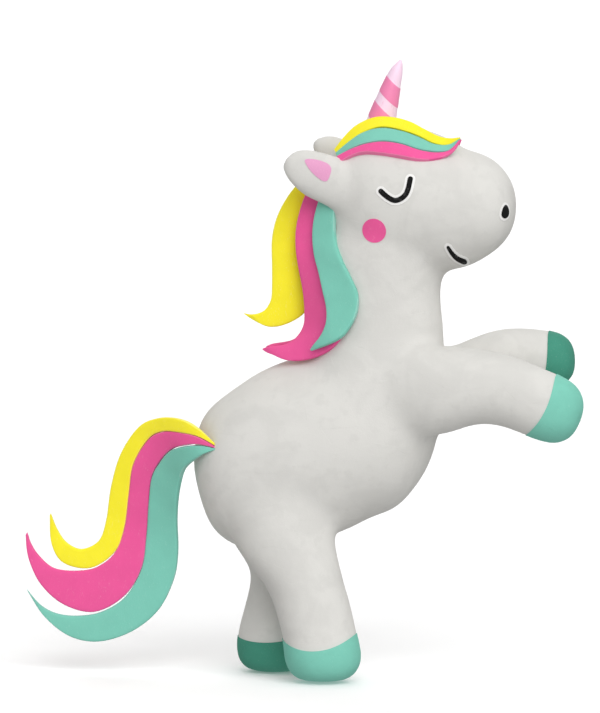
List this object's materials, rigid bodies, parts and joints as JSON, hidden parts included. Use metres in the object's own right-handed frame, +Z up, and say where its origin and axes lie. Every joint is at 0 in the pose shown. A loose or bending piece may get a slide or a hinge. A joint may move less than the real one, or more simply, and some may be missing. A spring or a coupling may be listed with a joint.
{
  "type": "pinata",
  "caption": "Hollow hanging pinata in the shape of a rearing unicorn, with felt mane, forelock and tail, a banded card horn, a hanging eyelet at the poll and a hinged filling hatch.",
  "frame": {"origin": "middle of the hanging eyelet at the poll, on top of the head behind the horn", "axes": "+X the way the unicorn faces, +Y its left side, +Z up"},
  "size_m": [0.5139, 0.1314, 0.5601],
  "materials": {
    "body_pulp": "matt painted moulded pulp",
    "hoof_light": "matt painted moulded pulp",
    "hoof_dark": "matt painted moulded pulp",
    "white_paper": "matt",
    "black_paper": "matt print",
    "pink_paper": "matt print",
    "soft_pink_paper": "matt print",
    "horn_card": "printed with slanting pink and pale bands",
    "eyelet_steel": "bright plated",
    "plain_card": "raw",
    "yellow_felt": "stiffened felt",
    "pink_felt": "stiffened felt",
    "teal_felt": "stiffened felt"
  },
  "bodies": {
    "pinata": {"cheek_left": "pink_paper", "cheek_right": "pink_paper", "ear_left": "body_pulp", "ear_right": "body_pulp", "eye_backing_left": "white_paper", "eye_backing_right": "white_paper", "eye_line_left": "black_paper", "eye_line_right": "black_paper", "foreleg_left": "body_pulp", "foreleg_right": "body_pulp", "forelock_pink_left": "pink_felt", "forelock_pink_right": "pink_felt", "forelock_teal_left": "teal_felt", "forelock_teal_right": "teal_felt", "forelock_yellow_left": "yellow_felt", "forelock_yellow_right": "yellow_felt", "hang_disc": "plain_card", "hang_eyelet": "eyelet_steel", "head_shell_left": "body_pulp", "head_shell_right": "body_pulp", "hind_leg_left": "body_pulp", "hind_leg_right": "body_pulp", "hinge_tape_upper": "white_paper", "hoof_fore_left": "hoof_dark", "hoof_fore_right": "hoof_light", "hoof_hind_left": "hoof_dark", "hoof_hind_right": "hoof_light", "horn_cone": "horn_card", "inner_ear_left": "soft_pink_paper", "inner_ear_right": "soft_pink_paper", "mane_pink_left": "pink_felt", "mane_pink_right": "pink_felt", "mane_teal_left": "teal_felt", "mane_teal_right": "teal_felt", "mane_yellow": "yellow_felt", "mouth_backing_left": "white_paper", "mouth_backing_right": "white_paper", "mouth_line_left": "black_paper", "mouth_line_right": "black_paper", "nostril_backing_left": "white_paper", "nostril_backing_right": "white_paper", "nostril_line_left": "black_paper", "nostril_line_right": "black_paper", "tail_pink": "pink_felt", "tail_teal": "teal_felt", "tail_yellow": "yellow_felt", "torso_shell_left": "body_pulp", "torso_shell_right": "body_pulp"},
    "fill_door": {"fill_door": "body_pulp", "door_tab": "pink_paper", "hinge_tape_lower": "white_paper"}
  },
  "joints": [
    {"name": "fill_hinge", "type": "hinge", "parent": "pinata", "child": "fill_door", "pos_m": [-0.031, 0.061, -0.25], "axis": [1, 0, 0], "range_deg": [0, 110]}
  ]
}
